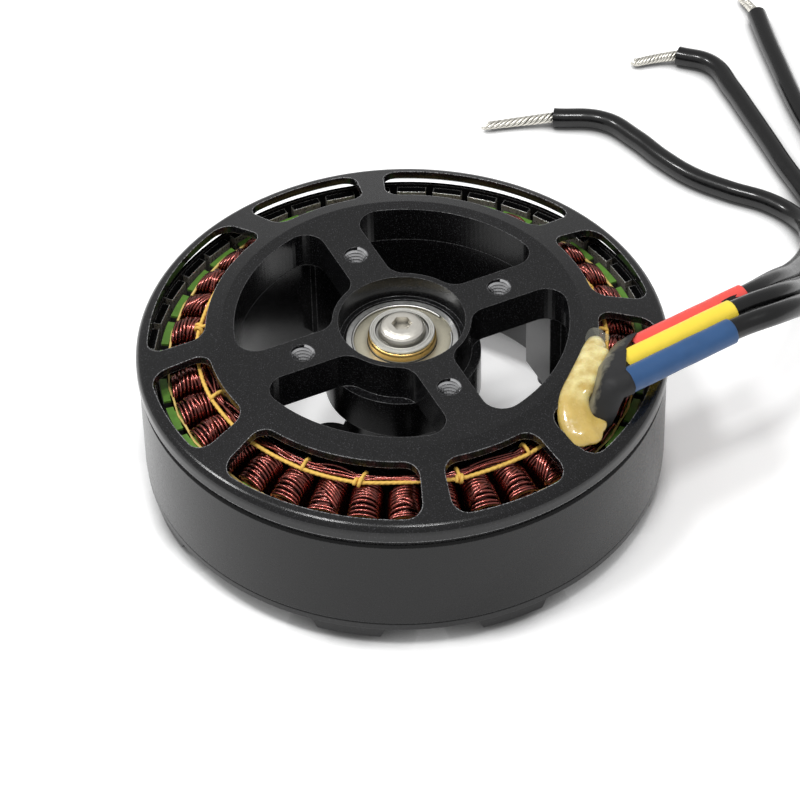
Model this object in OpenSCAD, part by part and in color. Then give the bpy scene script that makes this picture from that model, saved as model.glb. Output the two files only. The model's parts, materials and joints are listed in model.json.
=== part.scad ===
// Brushless outrunner motor, standing on its propeller face.
// Millimetres, +Z up. The origin is on the shaft axis at the level of the propeller face.
// The stator and its mounting plate are on top, the rotor turns below and outside them.

/* [Overall] */
// Outer diameter of the mounting plate
outer_d = 87; // [80:0.5:96]
// Height from the propeller face to the top of the mounting plate
total_h = 31; // [30:0.5:34]

/* [Mounting plate] */
// Width of the cone, from the flat middle of the plate to the outside of the rim
cone_w = 14.2; // [13.8:0.1:14.6]
// Drop of the cone for each millimetre of radius
cone_slope = 0.326; // [0.28:0.002:0.34]
// Thickness of the cone, measured upright
cone_t = 1.4; // [1.2:0.1:1.6]
// Height of the rim, from its lower lip up to the outer edge of the cone
rim_h = 2.9; // [2.6:0.05:3.2]
// Thickness of the rim's lower lip
lip_t = 0.35; // [0.3:0.05:0.6]
// Radius of the rounded top edge of the rim
rim_fillet = 1.6; // [1:0.1:2]
// Thickness of the spokes and of the ring that they carry
spoke_t = 6.65; // [6:0.05:7]
// Width of a spoke
spoke_w = 6.9; // [6:0.1:8]
// Radius of the hub ring between the spokes
hub_ring_r = 11.3; // [11:0.1:12]
// Width of the flat ring between the fan openings and the cone
land_w = 2.1; // [1.6:0.1:2.4]
// Corner radius of the fan openings
fan_fillet = 3.4; // [2:0.1:4]
// Width of the cone between its inner edge and the windows
window_inset = 2.6; // [2.2:0.1:3]
// Width of the rim outside the windows
window_margin = 2.0; // [1.9:0.1:2.6]
// Angle that a short window spans, in degrees
window_short = 28.2; // [24:0.1:30]
// Angle that a long window spans, in degrees
window_long = 48.6; // [44:0.1:52]
// Corner radius of the windows
window_fillet = 2.7; // [1.5:0.1:3.5]
// Pitch circle diameter of the mounting holes
mount_pcd = 35.2; // [32:0.1:38]
// Radius of a mounting hole's wall
mount_hole_r = 1.95; // [1.6:0.05:2.2]

/* [Bearings and shaft] */
// Diameter of the shaft
shaft_d = 8; // [7.5:0.1:8.2]
// Outer diameter of the upper bearing
upper_od = 19; // [18.6:0.1:19.4]
// Width of the upper bearing
upper_w = 6; // [5.5:0.1:6.2]
// Depth of the upper bearing below the top of the plate
upper_drop = 4.2; // [3.9:0.1:4.6]
// Radius of the recess above the upper bearing
recess_r = 10.35; // [10:0.05:10.6]
// Outer diameter of the lower bearing
lower_od = 16; // [15.6:0.1:16.4]
// Width of the lower bearing
lower_w = 5; // [4.5:0.1:5.2]
// Distance between the two bearings
bearing_gap = 6.1; // [5:0.1:6.4]
// Outer radius of the bearing tube below the spokes
tube_r = 12.85; // [12:0.05:13.4]
// Length of the thick part of the bearing tube below the spokes
tube_h = 7.35; // [6:0.05:8]
// Wall of the bearing tube round the lower bearing
lower_wall = 1.8; // [1.4:0.1:2.2]

/* [Stator] */
// Air gap between the magnets and the stator core
air_gap = 0.65; // [0.4:0.05:0.9]
// Depth of the top of the core below the top of the plate
core_drop = 8.7; // [8.5:0.1:9.2]
// Number of teeth
teeth = 36; // [36:36:36]
// Width of a tooth's neck
tooth_w = 3.0; // [2.6:0.1:3.2]
// Width of the slot opening between two tooth tips
slot_gap = 1.5; // [1:0.1:2]
// Radial thickness of a tooth tip
tip_t = 1.3; // [1:0.1:1.6]
// Wall of the core behind the teeth
yoke_t = 2.4; // [2:0.1:2.6]
// Wall of the carrier sleeve inside the core
carrier_t = 1.8; // [1.6:0.1:2]
// Thickness of the green insulation at the ends of the core
insulation_t = 0.4; // [0.3:0.1:0.6]
// Height of the coils above and below the insulation
coil_head_h = 3.4; // [3:0.1:3.6]
// Space between two neighbouring coils at their inner ends
coil_space = 0.27; // [0.2:0.01:0.6]
// Drop of a coil head at its outer end
coil_slope_h = 1.8; // [1:0.1:2]
// Diameter of the lacing cord on the coils
lacing_d = 0.7; // [0.6:0.05:1]

/* [Rotor] */
// Step from the outside of the plate in to the outside of the flux ring
ring_step = 0.3; // [0.1:0.05:0.5]
// Wall of the flux ring
ring_t = 1.2; // [1:0.05:1.3]
// Running gap between the plate's rim and the shoulder of the flux ring
rim_gap = 1.3; // [1:0.1:1.6]
// Height of the flux ring's collar above its shoulder, inside the plate's rim
collar_ring_h = 1.2; // [0.8:0.1:1.3]
// Number of magnets
poles = 42; // [42:42:42]
// Thickness of a magnet
magnet_t = 1.35; // [1.2:0.05:1.4]
// Width of a magnet
magnet_w = 4.9; // [4:0.1:5.2]
// Overhang of the magnets past each end of the core
magnet_over = 0.9; // [0.5:0.1:1.2]
// Height of the rim of the end plate
end_rim_h = 1.6; // [1.4:0.1:1.8]
// Thickness of the arms of the end plate
arm_t = 2.6; // [2.2:0.1:2.8]
// Width of an arm of the end plate
arm_w = 7.2; // [6:0.1:8]
// Height of the propeller boss below the arms
boss_h = 2.4; // [2:0.1:3]
// Pitch circle diameter of the propeller holes
prop_pcd = 25; // [24:0.5:26]
// Radius of a propeller hole's wall
prop_hole_r = 1.65; // [1.5:0.05:2]

/* [Leads] */
// Diameter of a lead's insulation
lead_d = 3.6; // [3:0.1:3.7]
// Outer diameter of a coloured sleeve
sleeve_d = 4.3; // [4:0.05:4.35]
// Length of a coloured sleeve
sleeve_l = 21; // [16:0.5:21]
// Diameter of the tinned ends
tip_d = 2.0; // [1.6:0.1:2.4]

/* [Hidden] */
$fn = 96;

// Fits
running_gap = 0.03;   // ball to groove, shaft to loose ring
seat_gap = 0.02;      // parts that slide on while the motor is put together
coil_gap = 1.5;       // from the coil heads to the arms of the end plate
eps = 0.5;            // overshoot of a cut past the face that it opens

// Angles of the features about the axis, in degrees
spoke_a = 45;         // first spoke, the others follow at quarter turns
rotor_a = 25.5;       // first arm of the end plate at rest
magnet_a = 4.6;       // first magnet at rest
socket_a = 20;        // a corner of the screw's hexagon at rest

// Plate levels and radii
plate_r = outer_d/2;
flat_r = plate_r - cone_w;
fan_r = flat_r - land_w;
spoke_z = total_h - spoke_t;
neck_r = fan_r + 2.2;                       // outside of the thick ring that the spokes carry
edge_r = plate_r - rim_fillet;              // where the cone meets the rounded rim
function cone_z(r) = total_h - max(0, r - flat_r)*cone_slope;
lip_z = cone_z(edge_r) - rim_h;
bevel_r = plate_r - 2.03;                   // where the rim's inner bevel meets the cone's underside
window_r0 = flat_r + window_inset;
window_r1 = plate_r - window_margin;
window_h = total_h - lip_z;

// Bearing levels and radii
shaft_r = shaft_d/2;
upper_r = upper_od/2;
lower_r = lower_od/2;
upper_top = total_h - upper_drop;
upper_low = upper_top - upper_w;
lower_top = upper_low - bearing_gap;
lower_low = lower_top - lower_w;
tube_low = spoke_z - tube_h;
lower_tube_r = lower_r + lower_wall;
tube_end = lower_low - 0.2;
shoulder_r = lower_r - 1;                   // bore between the bearings

// Bearing insides: [pitch radius, ball radius, inner land, outer land, number of balls], where the balls
// and the two lands share out the room between the shaft and the outside of the bearing
function bearing_set(r, pitch, ball, inner, outer, n) = let (room = r - shaft_r)
    [shaft_r + pitch*room, ball*room, shaft_r + inner*room, r - outer*room, n];
upper_set = bearing_set(upper_r, 0.531, 0.273, 0.291, 0.218, 9);
lower_set = bearing_set(lower_r, 0.5, 0.3, 0.3, 0.275, 10);

// Flux ring and magnets, from the outside in to the air gap
ring_r = plate_r - ring_step;
ring_in = ring_r - ring_t;
magnet_in = ring_in - magnet_t;
ring_top = lip_z - rim_gap;
ring_low = boss_h + arm_t;
ring_collar_r = ring_in + 0.6;
ring_collar_top = ring_top + collar_ring_h;

// Stator levels and radii
core_r = magnet_in - air_gap;
carrier_r = fan_r + carrier_t;
core_top = total_h - core_drop;
core_low = ring_low + coil_gap + coil_head_h + insulation_t;
yoke_r = carrier_r + yoke_t;
tip_r = core_r - tip_t;
tooth_step = 360/teeth;
coil_r0 = yoke_r + 0.5;
coil_r1 = tip_r - 0.4;
coil_w = 2*PI*coil_r0/teeth - coil_space;
coil_flat_r = coil_r1 - 2.3;                // where the heads start to slope down
coil_top = core_top + insulation_t + coil_head_h;
coil_low = core_low - insulation_t - coil_head_h;
carrier_low = core_low - 2.6;
liner_h = 0.9;
lug_face = fan_r - 2.35;                    // inner face of a screw lug, from the axis
lug_w = 8.8;
carrier_screw_r = (lug_face + carrier_r)/2;
screw_shank_r = 1.0;
screw_grip = 3.6;                           // length of a carrier screw in the plate
jumper_r = 0.45;
lacing_r = coil_r0 + 1.5;

// End plate levels and radii
magnet_top = core_top + magnet_over;
magnet_h = magnet_top - core_low + magnet_over;
end_rim_r = ring_r - 0.1;
end_rim_in = fan_r + 5.8;
hub_r = 10.6;
hub_neck_r = lower_tube_r - 1;
prop_r = prop_pcd/2;
lobe_r = prop_hole_r + 2.95;
rim_low = ring_low - end_rim_h;
spigot_h = 1.4;                             // height of the spigot inside the flux ring
spigot_t = 1.6;
pad_h = 2.0;
pad_r0 = end_rim_in + 2.5;
fork_l = 7;                                 // length of the forked end of an arm
fork_a0 = 12.3;                             // where a fork meets the rim, in degrees from its arm
fork_a1 = 21.8;
pad_a = 18.2;                               // a pad's middle, from the middle of its arm
pad_w = 12.4;                               // width of a pad where it meets the rim
pad_taper = 1.0;                            // its ends slope in by this much

// Clamped stack on top of the shaft
brass_h = 1.35;
brass_top = upper_top + brass_h;
collar_t = 0.6;
collar_top = brass_top + collar_t;
collar_r = 5.35;
dish_r = 4.4;
dish_h = 0.4;
screw_head_h = 1.85;
screw_head_r = 3.9;
screw_edge_h = 0.4;                         // upright edge of the screw's head
screw_flat_r = 1.95;                        // flat on top of the head
screw_length = 6;
socket_r = 1.73;                            // from the axis to a corner of the hexagon
socket_h = 1.3;
screw_seat = collar_top - dish_h;
shaft_top = screw_seat - 0.8;
screw_r = 2.0;

// Wrap and leads
wrap_r = 2.3;
wrap_grip = 3;                              // length of a lead inside the wrap
lead_rest = lead_d/2;                       // level of a lead's axis where it lies on the floor
tip_rest = tip_d/2 + 0.2;

// Routes of the leads, from inside the wrap to the end of the insulation, chosen by hand.
// The first stretch of each is straight and level, for its sleeve.
red_route = [[36.2, 4.6, total_h - 1], [44, 15, total_h - 1], [50.9, 24.2, total_h - 1],
    [53.2, 31, total_h - 3.3], [54.5, 40, 22.5], [54.5, 50, 17], [53, 60, 11], [51, 69, 5.5],
    [47.5, 76, lead_rest + 0.5],
    [41, 79.5, lead_rest], [33, 80.5, lead_rest], [26, 82, lead_rest], [19.5, 85, lead_rest],
    [13, 89, lead_rest], [6, 92, lead_rest], [-3, 90, lead_rest]];
yellow_route = [[36.1, -1.9, total_h + 1.2], [45.1, 10.1, total_h + 1.2], [51.4, 18.5, total_h + 1.2],
    [55.6, 24.3, total_h + 0.2], [57.6, 34.7, 24.8], [58.5, 45, 18], [58, 56, 11.5], [57, 66, 5.5],
    [54, 74, lead_rest + 0.5], [49.5, 80.5, lead_rest], [45, 85.5, lead_rest], [40.5, 90.5, lead_rest],
    [36, 96, lead_rest], [31, 102, lead_rest], [25.5, 108.5, lead_rest], [20, 114, lead_rest],
    [13.5, 114.5, lead_rest]];
blue_route = [[37.45, -7.2, total_h + 2.15], [46.45, 4.8, total_h + 2.15], [52.9, 13.4, total_h + 2.15],
    [57.8, 18.5, total_h + 2.1], [60.9, 30, 27], [62.5, 42, 20], [63, 54, 13], [61.5, 66, 7],
    [58, 77, lead_rest + 0.8], [52.5, 87, lead_rest], [46, 97, lead_rest], [40, 105, lead_rest],
    [36, 111, lead_rest], [32, 117.5, lead_rest], [28, 124, lead_rest], [24, 131, lead_rest]];
// Rest of each tinned end, after its first short stretch along the lead
red_tip = [[-9, 87.5, tip_rest], [-15, 84, tip_rest]];
yellow_tip = [[9.5, 113, tip_rest], [5.5, 110, tip_rest]];
blue_tip = [[22, 133.5, tip_rest], [19, 136, tip_rest]];

// ---------------------------------------------------------------- helpers

// Points along an arc of radius r about c, from angle a0 to a1, n steps
function arc(c, r, a0, a1, n) = [for (i = [0:n]) c + r*[cos(a0 + (a1 - a0)*i/n), sin(a0 + (a1 - a0)*i/n)]];

// Outline of a ring sector from -h to h degrees, between r0 and r1, with corners of radius f
function sector(r0, r1, h, f) =
    let (b0 = asin(f/(r0 + f)), b1 = asin(f/(r1 - f)),
         c1 = (r1 - f)*[cos(h - b1), sin(h - b1)], c0 = (r0 + f)*[cos(h - b0), sin(h - b0)],
         d0 = (r0 + f)*[cos(b0 - h), sin(b0 - h)], d1 = (r1 - f)*[cos(b1 - h), sin(b1 - h)])
    concat(arc([0, 0], r1, b1 - h, h - b1, 24), arc(c1, f, h - b1, h + 90, 8),
           arc(c0, f, h + 90, h - b0 + 180, 8), arc([0, 0], r0, h - b0, b0 - h, 16),
           arc(d0, f, 180 + b0 - h, 270 - h, 8), arc(d1, f, 270 - h, 360 + b1 - h, 8));

// Outline of a fan opening, on the +X side, between two spokes of width w at 45 degrees to it
function opening(r0, r1, w, f) =
    let (e0 = asin((w/2 + f)/(r0 + f)), e1 = asin((w/2 + f)/(r1 - f)),
         c1 = (r1 - f)*[cos(45 - e1), sin(45 - e1)], c0 = (r0 + f)*[cos(45 - e0), sin(45 - e0)])
    concat(arc([0, 0], r1, e1 - 45, 45 - e1, 32), arc(c1, f, 45 - e1, 135, 10),
           arc(c0, f, 135, 225 - e0, 10), arc([0, 0], r0, 45 - e0, e0 - 45, 12),
           arc([c0.x, -c0.y], f, 135 + e0, 225, 10), arc([c1.x, -c1.y], f, 225, 315 + e1, 10));

// Copies of the children at n places about the axis, the first at angle a
module around(n, a = 0) {
    for (i = [0:n - 1]) rotate(a + i*360/n) children();
}

// A ring between two radii and two levels
module ring(r0, r1, z0, z1) {
    translate([0, 0, z0]) difference() {
        cylinder(r = r1, h = z1 - z0);
        translate([0, 0, -eps]) cylinder(r = r0, h = z1 - z0 + 2*eps);
    }
}

// Direction of a route at point i, the mean of the two stretches that meet there
function heading(p, i) = let (d = p[min(i + 1, len(p) - 1)] - p[max(i - 1, 0)]) d/norm(d);
function side(d) = let (s = cross(d, [0, 0, 1])) s/norm(s);

// A tube of n sides swept along the points p
module sweep(p, r, n = 8) {
    points = [for (i = [0:len(p) - 1]) let (d = heading(p, i), s = side(d), u = cross(s, d))
        for (k = [0:n - 1]) p[i] + r*(cos(k*360/n)*s + sin(k*360/n)*u)];
    walls = [for (i = [0:len(p) - 2]) for (k = [0:n - 1])
        [i*n + k, i*n + (k + 1)%n, (i + 1)*n + (k + 1)%n, (i + 1)*n + k]];
    caps = [[for (k = [0:n - 1]) n - 1 - k], [for (k = [0:n - 1]) (len(p) - 1)*n + k]];
    polyhedron(points, concat(walls, caps));
}

// ---------------------------------------------------------------- mounting plate

// Half section of the plate with its bearing tube
function plate_section() = concat(
    [[recess_r, total_h], [flat_r, total_h]],
    arc([edge_r, cone_z(edge_r) - rim_fillet], rim_fillet, 90 - atan(cone_slope), 0, 6),
    [[plate_r, lip_z], [plate_r - lip_t, lip_z], [bevel_r, cone_z(bevel_r) - cone_t],
     [neck_r, cone_z(neck_r) - cone_t], [neck_r, spoke_z], [tube_r, spoke_z], [tube_r, tube_low],
     [lower_tube_r, tube_low], [lower_tube_r, tube_end], [lower_r, tube_end], [lower_r, lower_top],
     [shoulder_r, lower_top], [shoulder_r, upper_low], [upper_r, upper_low], [upper_r, upper_top],
     [recess_r, upper_top]]);

module mount_plate() {
    color([0.10, 0.10, 0.11]) difference() {
        rotate_extrude() polygon(plate_section());
        around(4) translate([0, 0, spoke_z]) linear_extrude(spoke_t + eps)
            polygon(opening(hub_ring_r, fan_r, spoke_w, fan_fillet));
        around(4, spoke_a) translate([0, 0, lip_z]) linear_extrude(window_h + eps)
            polygon(sector(window_r0, window_r1, window_short/2, window_fillet));
        around(4) translate([0, 0, lip_z]) linear_extrude(window_h + eps)
            polygon(sector(window_r0, window_r1, window_long/2, window_fillet));
        around(4, spoke_a) translate([mount_pcd/2, 0, spoke_z - eps])
            cylinder(r = mount_hole_r, h = spoke_t + 2*eps);
        around(4, spoke_a) translate([carrier_screw_r, 0, spoke_z - eps])
            cylinder(r = screw_shank_r + seat_gap, h = screw_grip + 2*eps);
    }
}

// ---------------------------------------------------------------- stator

// Sleeve that carries the core, with four lugs for the screws into the plate
module stator_carrier() {
    color([0.09, 0.09, 0.10]) {
        translate([0, 0, carrier_low]) linear_extrude(spoke_z - carrier_low) difference() {
            union() {
                difference() {
                    circle(r = carrier_r);
                    circle(r = fan_r);
                }
                around(4, spoke_a) translate([lug_face, -lug_w/2])
                    square([fan_r + carrier_t/2 - lug_face, lug_w]);
            }
            around(4, spoke_a) translate([carrier_screw_r, 0]) circle(r = screw_shank_r + seat_gap);
        }
        // step that the top of the core rests against
        ring(carrier_r - 0.3, carrier_r + 0.4, core_top, spoke_z - 0.1);
    }
}

// Four socket screws, from below through the lugs into the plate
module carrier_screws() {
    head_h = 1.3;
    head_r = 1.9;
    color([0.18, 0.18, 0.19]) around(4, spoke_a) translate([carrier_screw_r, 0, 0]) difference() {
        union() {
            translate([0, 0, carrier_low - head_h]) cylinder(r = head_r, h = head_h);
            translate([0, 0, carrier_low - 0.1])
                cylinder(r = screw_shank_r, h = spoke_z - carrier_low + screw_grip);
        }
        translate([0, 0, carrier_low - head_h - eps]) cylinder(r = 0.85, h = 0.8 + eps, $fn = 6);
    }
}

// Flat outline of the core: the ring behind the teeth, the necks and the tips, out to radius r
module core_outline(r) {
    gap_a = asin(slot_gap/2/core_r);
    difference() {
        union() {
            circle(r = yoke_r);
            around(teeth) translate([yoke_r - 0.6, -tooth_w/2]) square([tip_r - yoke_r + 1, tooth_w]);
            difference() {
                circle(r = r);
                circle(r = tip_r);
                around(teeth, tooth_step/2) translate([tip_r - 1, -slot_gap/2])
                    square([tip_t + 2, slot_gap]);
            }
        }
        circle(r = carrier_r + seat_gap);
    }
}

module stator_core() {
    color([0.45, 0.45, 0.47]) translate([0, 0, core_low])
        linear_extrude(core_top - core_low) core_outline(core_r);
}

module upper_insulation() {
    color([0.36, 0.60, 0.24]) translate([0, 0, core_top]) linear_extrude(insulation_t) difference() {
        core_outline(core_r - 0.1);
        circle(r = carrier_r + 0.4);
    }
}

module lower_insulation() {
    color([0.36, 0.60, 0.24]) translate([0, 0, core_low - insulation_t]) linear_extrude(insulation_t)
        core_outline(core_r - 0.1);
}

// Edge of the slot paper, standing up between the coils and the tooth tips
module slot_liner(z) {
    color([0.86, 0.80, 0.50]) ring(tip_r - 0.3, tip_r, z, z + liner_h);
}

module upper_slot_liner() {
    slot_liner(core_top + insulation_t);
}

module lower_slot_liner() {
    slot_liner(core_low - insulation_t - liner_h);
}

// One coil round the tooth on +X: a flat loop with round heads, extruded along the tooth,
// whose heads slope down towards the tooth's tip
module coil() {
    h = coil_top - coil_low;
    tooth_gap = 0.05;
    far = coil_r1 - coil_flat_r + 1;
    fall = coil_slope_h/(coil_r1 - coil_flat_r);
    difference() {
        translate([coil_r0, 0, coil_low]) rotate([90, 0, 90])
            linear_extrude(coil_r1 - coil_r0) difference() {
            intersection() {
                translate([-coil_w/2, 0]) square([coil_w, h]);
                translate([0, h/2]) round_bar(coil_w, h);
            }
            translate([-tooth_w/2 - tooth_gap, coil_head_h])
                square([tooth_w + 2*tooth_gap, h - 2*coil_head_h]);
        }
        for (s = [-1, 1]) translate([coil_flat_r, 0, (coil_top + coil_low)/2 + s*h/2]) rotate([90, 0, 0])
            linear_extrude(coil_w + 2, center = true)
                polygon([[-1, s*fall], [far, -s*far*fall], [far, s*far], [-1, s*far]]);
    }
}

// Upright bar with a round head at each end, of radius a little over half its width
module round_bar(w, h) {
    r = w*0.62;
    union() {
        translate([-w, -h/2 + r]) square([2*w, h - 2*r]);
        translate([0, h/2 - r]) circle(r = r);
        translate([0, r - h/2]) circle(r = r);
    }
}

// The twelve coils of one phase: pairs of neighbouring teeth, six teeth apart
module phase(k) {
    for (i = [0:teeth - 1]) if (floor(i/2)%3 == k) rotate(i*tooth_step) coil();
}

module coils_phase_a() {
    color([0.45, 0.16, 0.12]) phase(0);
}

module coils_phase_b() {
    color([0.48, 0.18, 0.13]) phase(1);
}

module coils_phase_c() {
    color([0.42, 0.15, 0.12]) phase(2);
}

// Three enamelled wire rings that join the coils, over and inside the inner edge of the coil heads
module phase_jumpers() {
    reach = jumper_r + 0.05;
    places = [[coil_r0 + jumper_r, coil_top + reach], [coil_r0 - reach, coil_top + jumper_r],
        [coil_r0 - reach, coil_top - reach]];
    color([0.50, 0.20, 0.15]) for (p = places) rotate_extrude() translate(p) circle(r = jumper_r, $fn = 24);
}

// Cord that ties the coil heads together
module lacing_cord() {
    color([0.85, 0.65, 0.25]) rotate_extrude()
        translate([lacing_r, coil_top + lacing_d/2]) circle(r = lacing_d/2, $fn = 24);
}

// ---------------------------------------------------------------- bearings

// Ball groove in the middle of a bearing of width w that starts at z
module groove(set, z, w) {
    translate([set[0], z + w/2]) circle(r = set[1] + running_gap, $fn = 48);
}

module outer_race(set, r, z, w) {
    color([0.62, 0.62, 0.64]) rotate_extrude() difference() {
        polygon([[set[3], z], [r - 0.4, z], [r, z + 0.4],
            [r, z + w - 0.4], [r - 0.4, z + w], [set[3], z + w]]);
        groove(set, z, w);
    }
}

module inner_race(set, z, w) {
    color([0.66, 0.66, 0.68]) rotate_extrude() difference() {
        translate([shaft_r, z]) square([set[2] - shaft_r, w]);
        groove(set, z, w);
    }
}

module balls(set, z, w) {
    color([0.8, 0.8, 0.82]) around(set[4]) translate([set[0], 0, z + w/2]) sphere(r = set[1], $fn = 32);
}

// Crown cage: a ring beside the balls, with fingers that reach down between them
module cage(set, z, w) {
    land_play = 0.35;
    play = 0.08;
    color([0.6, 0.6, 0.6]) translate([0, 0, z + w/2]) difference() {
        ring(set[2] + land_play, set[3] - land_play, -set[1]/3, set[1] + play + 0.5);
        around(set[4]) translate([set[0], 0, 0]) sphere(r = set[1] + play, $fn = 32);
    }
}

// Thin ring that covers the balls, seated in the outer race
module shield(set, z) {
    color([0.72, 0.66, 0.52]) ring(set[2] + 0.12, set[3], z, z + 0.25);
}

module upper_outer_race() {
    outer_race(upper_set, upper_r, upper_low, upper_w);
}

module upper_inner_race() {
    inner_race(upper_set, upper_low, upper_w);
}

module upper_balls() {
    balls(upper_set, upper_low, upper_w);
}

module upper_cage() {
    cage(upper_set, upper_low, upper_w);
}

module upper_shield() {
    shield(upper_set, upper_top - 0.55);
}

// Wire clip that holds the shield, open for a short stretch
module shield_clip() {
    color([0.55, 0.55, 0.56]) rotate([0, 0, 60]) rotate_extrude(angle = 330)
        translate([upper_set[3] - 0.22, upper_top - 0.12]) circle(r = 0.18, $fn = 16);
}

module lower_outer_race() {
    outer_race(lower_set, lower_r, lower_low, lower_w);
}

module lower_inner_race() {
    inner_race(lower_set, lower_low, lower_w);
}

module lower_balls() {
    balls(lower_set, lower_low, lower_w);
}

module lower_cage() {
    cage(lower_set, lower_low, lower_w);
}

module lower_shield() {
    shield(lower_set, lower_low + 0.1);
}

// ---------------------------------------------------------------- shaft and what it clamps

module shaft() {
    color([0.70, 0.70, 0.72]) difference() {
        translate([0, 0, 0.3]) cylinder(r = shaft_r, h = shaft_top - 0.3);
        translate([0, 0, shaft_top - 8]) cylinder(r = screw_r + seat_gap, h = 8 + eps);
    }
}

// Tube that holds the inner races apart
module race_spacer() {
    color([0.60, 0.61, 0.63]) ring(shaft_r + running_gap, lower_set[2], lower_top, upper_low);
}

module brass_spacer() {
    r = upper_set[2];
    color([0.75, 0.58, 0.25]) rotate_extrude()
        polygon(concat([[shaft_r + running_gap, upper_top], [r, upper_top]],
        arc([r - 0.5, brass_top - 0.5], 0.5, 0, 90, 5), [[shaft_r + running_gap, brass_top]]));
}

// Dished washer under the screw head, centred in the brass spacer, with a groove in its top
module shaft_collar() {
    spigot_r = shaft_r - 0.05;
    chamfer = 0.1;
    groove_r = collar_r - 0.5;
    color([0.75, 0.76, 0.78]) rotate_extrude()
        polygon([[screw_r + seat_gap, shaft_top], [spigot_r, shaft_top],
        [spigot_r, brass_top], [collar_r - 3*chamfer, brass_top], [collar_r, brass_top + 2*chamfer],
        [collar_r, collar_top - chamfer], [collar_r - chamfer, collar_top], [groove_r + 2*chamfer, collar_top],
        [groove_r + chamfer, collar_top - chamfer], [groove_r - chamfer, collar_top - chamfer],
        [groove_r - 2*chamfer, collar_top], [dish_r, collar_top], [dish_r - 1.5*chamfer, screw_seat],
        [screw_r + seat_gap, screw_seat]]);
}

// Button-head screw into the end of the shaft
module shaft_screw() {
    dome_w = screw_head_r - screw_flat_r;
    dome_h = screw_head_h - screw_edge_h;
    color([0.72, 0.71, 0.68]) difference() {
        union() {
            rotate_extrude() polygon(concat([[0, screw_seat], [screw_head_r, screw_seat]],
                [for (a = [0:15:90]) [screw_flat_r + dome_w*cos(a), screw_seat + screw_edge_h + dome_h*sin(a)]],
                [[0, screw_seat + screw_head_h]]));
            translate([0, 0, screw_seat - screw_length]) cylinder(r = screw_r, h = screw_length + 0.1);
        }
        rotate(socket_a) translate([0, 0, screw_seat + screw_head_h - socket_h])
            cylinder(r = socket_r, h = socket_h + eps, $fn = 6);
    }
}

// ---------------------------------------------------------------- rotor

// Flat outline of one forked arm on +X, from the hub out to the rim
module arm_outline() {
    fork_r = end_rim_in - fork_l;
    rim_mid = (end_rim_in + end_rim_r)/2;
    translate([hub_r - 1, -arm_w/2]) square([fork_r - hub_r + 1, arm_w]);
    difference() {
        polygon([[fork_r - 4, -arm_w/2], [fork_r - 4, arm_w/2],
            [rim_mid*cos(fork_a1), rim_mid*sin(fork_a1)], [rim_mid*cos(fork_a1), -rim_mid*sin(fork_a1)]]);
        polygon([[fork_r + 1, 0], [end_rim_in + 2, (end_rim_in + 2)*sin(fork_a0)],
            [end_rim_in + 2, -(end_rim_in + 2)*sin(fork_a0)]]);
    }
}

// Flat outline of the propeller boss: the hub and a lobe round each hole, with or without the arms
module boss_outline(arms) {
    difference() {
        union() {
            circle(r = hub_r);
            around(4, rotor_a) translate([prop_r, 0]) circle(r = lobe_r);
            if (arms) around(4, rotor_a) arm_outline();
        }
        circle(r = shaft_r);
        around(4, rotor_a) translate([prop_r, 0]) circle(r = prop_hole_r);
    }
}

// Pad under the rim on +X, with ends that slope in towards its foot
module pad() {
    foot = rim_low - pad_h;
    lean = pad_taper/pad_h;
    low_w = pad_w/2 - lean*(pad_h + eps);
    high_w = pad_w/2 + lean*end_rim_h;
    intersection() {
        ring(pad_r0, end_rim_r - 0.5, foot, rim_low + end_rim_h/2);
        rotate([90, 0, 90]) linear_extrude(plate_r)
            polygon([[-low_w, foot - eps], [low_w, foot - eps], [high_w, ring_low], [-high_w, ring_low]]);
    }
}

module rotor_end_plate() {
    color([0.12, 0.12, 0.13]) {
        // rim with its chamfered outer edge and the spigot inside the flux ring
        rotate_extrude() polygon([[end_rim_in, rim_low], [end_rim_r - 0.3, rim_low],
            [end_rim_r, rim_low + 0.3], [end_rim_r, ring_low - 0.2], [end_rim_r - 0.2, ring_low],
            [ring_in - seat_gap, ring_low], [ring_in - seat_gap, ring_low + spigot_h],
            [ring_in - spigot_t, ring_low + spigot_h], [ring_in - spigot_t, ring_low], [end_rim_in, ring_low]]);
        // pads under the rim where the forks meet it
        around(4, rotor_a) for (s = [-1, 1]) rotate(s*pad_a) pad();
        // boss, arms, and the neck up to the inner race of the lower bearing
        linear_extrude(boss_h) boss_outline(false);
        translate([0, 0, boss_h]) linear_extrude(arm_t - 0.2) boss_outline(true);
        rotate_extrude() polygon([[shaft_r, boss_h + 1],
            [hub_neck_r, boss_h + 1], [hub_neck_r, lower_low - 0.7],
            [lower_set[2], lower_low - 0.7], [lower_set[2], lower_low], [shaft_r, lower_low]]);
    }
}

// Ring with a shoulder that shows below the plate's rim and a collar that stands inside it
module flux_ring() {
    c = 0.2;
    color([0.16, 0.16, 0.17]) rotate_extrude() polygon([[ring_in, ring_low], [ring_r - c, ring_low],
        [ring_r, ring_low + c], [ring_r, ring_top - 2*c], [ring_r - 2*c, ring_top], [ring_collar_r, ring_top],
        [ring_collar_r, ring_collar_top], [ring_in, ring_collar_top]]);
}

module magnets() {
    color([0.75, 0.75, 0.77]) around(poles, magnet_a) intersection() {
        translate([magnet_in, -magnet_w/2, magnet_top - magnet_h]) cube([magnet_t + 1, magnet_w, magnet_h]);
        translate([0, 0, magnet_top - magnet_h]) cylinder(r = ring_in, h = magnet_h, $fn = 240);
    }
}

// ---------------------------------------------------------------- leads

// Children moved to the start of route p and turned so that +Z runs along its first stretch
module along(p) {
    d = p[1] - p[0];
    translate(p[0]) rotate([0, 90, atan2(d.y, d.x)]) children();
}

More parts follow.
